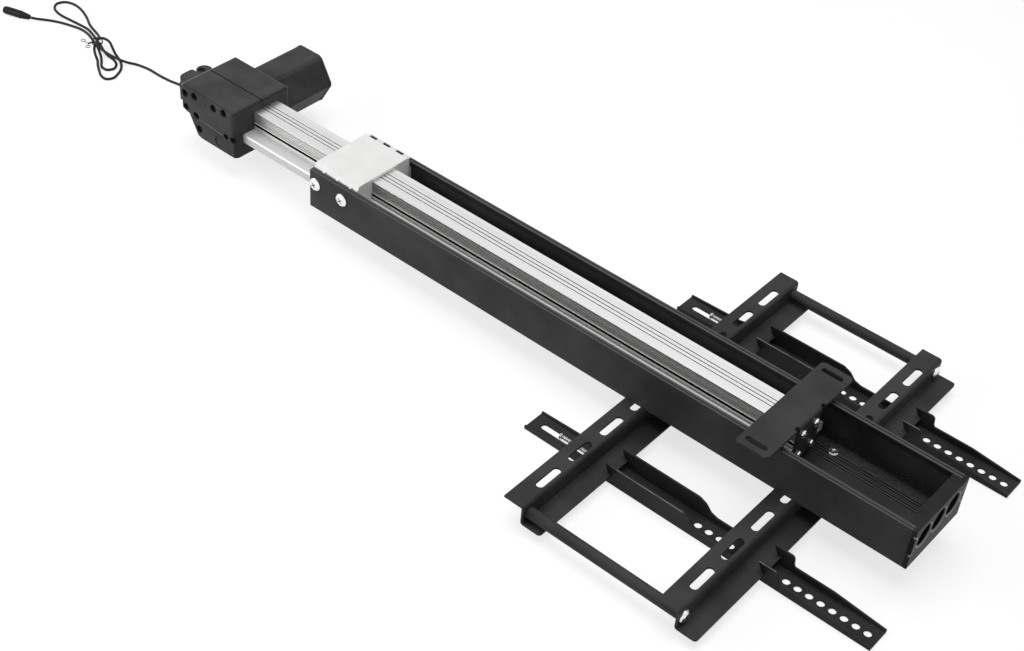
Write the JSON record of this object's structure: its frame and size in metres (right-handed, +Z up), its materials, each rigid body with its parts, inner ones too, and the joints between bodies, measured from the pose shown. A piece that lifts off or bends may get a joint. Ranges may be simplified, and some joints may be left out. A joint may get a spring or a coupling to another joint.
{
  "type": "tv lift mechanism",
  "caption": "Motorised screen lift: worm gearbox drives a screw in an aluminium column, moving a black channel with cross rails and two slotted screen arms; corded plug.",
  "frame": {"origin": "bottom centre of the bounding box without the cord, on the plane that the two screen arms rest on", "axes": "+X along the column from gearbox to end cap, the way the carriage extends; +Y across, towards the motor; +Z up from the arms"},
  "size_m": [1.4845, 0.496, 0.0993],
  "materials": {
    "black_powder": "fine texture powder coat",
    "black_plastic": "moulded, fine grain",
    "cap_plastic": "moulded, satin",
    "white_nylon": "satin nylon",
    "aluminium": "satin anodised extrusion",
    "zinc_steel": "zinc plated",
    "ground_steel": "ground and oiled",
    "gear_bronze": "machined",
    "motor_steel": "plated can",
    "cream_nylon": "satin",
    "switch_plastic": "moulded",
    "cord_pvc": "satin PVC",
    "tie_plastic": "thin sleeve over wire",
    "plug_plastic": "moulded PVC"
  },
  "bodies": {
    "base": {"housing_near": "black_plastic", "housing_far": "black_plastic", "housing_screws": "black_plastic", "back_cover": "black_plastic", "motor_can": "black_plastic", "motor_cap": "black_plastic", "motor_body": "motor_steel", "worm_bearing": "ground_steel", "screw_bearings": "ground_steel", "column": "aluminium", "screw_bush": "cream_nylon", "limit_switches": "switch_plastic", "end_bracket": "black_powder", "end_screws": "zinc_steel", "cord_gland": "cord_pvc", "cord_lead": "cord_pvc", "cord_bundle": "cord_pvc", "cord_tail": "cord_pvc", "cord_tie": "tie_plastic", "cord_plug": "plug_plastic", "plug_barrel": "zinc_steel"},
    "screw": {"lead_screw": "ground_steel", "worm_wheel": "gear_bronze"},
    "worm": {"worm_shaft": "ground_steel"},
    "carriage": {"channel": "black_powder", "slide_block": "white_nylon", "drive_nut": "cream_nylon", "block_screws": "zinc_steel", "end_cap": "cap_plastic", "rail_motor_side": "black_powder", "rail_cap_side": "black_powder", "rail_bolts": "zinc_steel", "rail_nuts": "zinc_steel", "tube_near": "black_powder", "tube_far": "black_powder", "tube_screws": "zinc_steel"},
    "arm_near_body": {"arm_near": "black_powder", "lock_bolt_near": "zinc_steel"},
    "arm_far_body": {"arm_far": "black_powder", "lock_bolt_far": "zinc_steel"}
  },
  "joints": [
    {"name": "lift", "type": "slide", "parent": "base", "child": "carriage", "axis": [1, 0, 0], "range_m": [-0.122, 0.578]},
    {"name": "screw_spin", "type": "hinge", "parent": "base", "child": "screw", "pos_m": [-0.2965, 0, 0.0753], "axis": [1, 0, 0], "continuous": true},
    {"name": "worm_spin", "type": "hinge", "parent": "base", "child": "worm", "pos_m": [-0.477, 0, 0.0565], "axis": [0, 1, 0], "continuous": true},
    {"name": "arm_near_slide", "type": "slide", "parent": "carriage", "child": "arm_near_body", "axis": [0, 1, 0], "range_m": [-0.09, 0.09]},
    {"name": "arm_far_slide", "type": "slide", "parent": "carriage", "child": "arm_far_body", "axis": [0, 1, 0], "range_m": [-0.12, 0.055]}
  ],
  "couplings": [
    {"joint": "screw_spin", "follows": "lift", "rad_per_m": 392.7},
    {"joint": "worm_spin", "follows": "lift", "rad_per_m": 5105.1}
  ]
}
